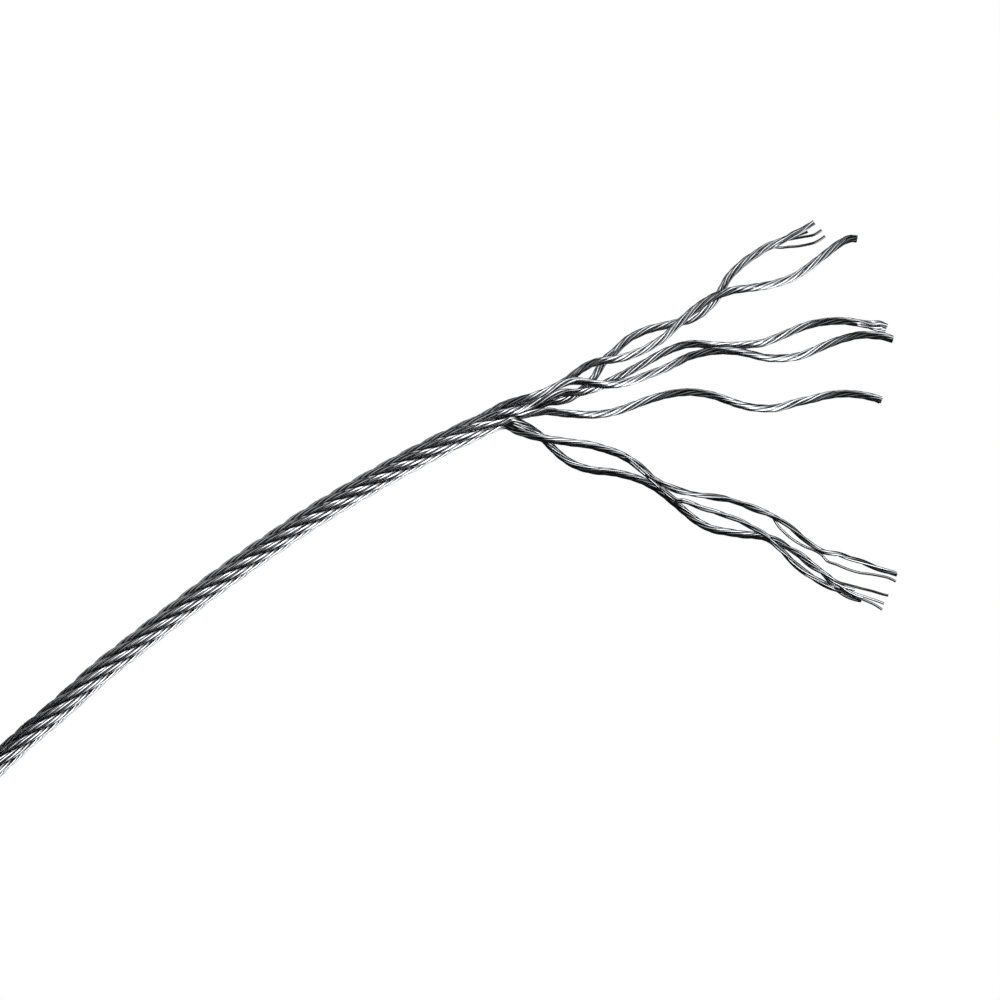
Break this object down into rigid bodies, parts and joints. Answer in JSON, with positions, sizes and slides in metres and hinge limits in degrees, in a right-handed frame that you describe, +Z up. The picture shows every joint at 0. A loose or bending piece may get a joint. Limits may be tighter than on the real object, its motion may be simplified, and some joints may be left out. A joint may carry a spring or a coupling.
{
  "type": "coil of wire rope",
  "caption": "Round coil of thin stainless wire rope held by cable ties, its free end laid out and unlaid into separate wavy strands.",
  "frame": {"origin": "bottom centre of the whole object's box, on the floor that it lies on", "axes": "+X from the coil towards the unlaid strands' tips, +Y to the far side of the plan, +Z up"},
  "size_m": [0.2468, 0.1224, 0.0229],
  "materials": {
    "stainless_steel": "bright drawn stainless wire, cool grey, glossy along each wire",
    "black_nylon": "satin black nylon"
  },
  "bodies": {
    "root": {"coil": "stainless_steel", "rope_run": "stainless_steel", "strand_1": "stainless_steel", "strand_2": "stainless_steel", "strand_3": "stainless_steel", "strand_4": "stainless_steel", "strand_5": "stainless_steel", "strand_6": "stainless_steel", "core_strand": "stainless_steel", "stray_wires": "stainless_steel", "tie_1": "black_nylon", "tie_2": "black_nylon", "tie_3": "black_nylon"}
  },
  "joints": []
}
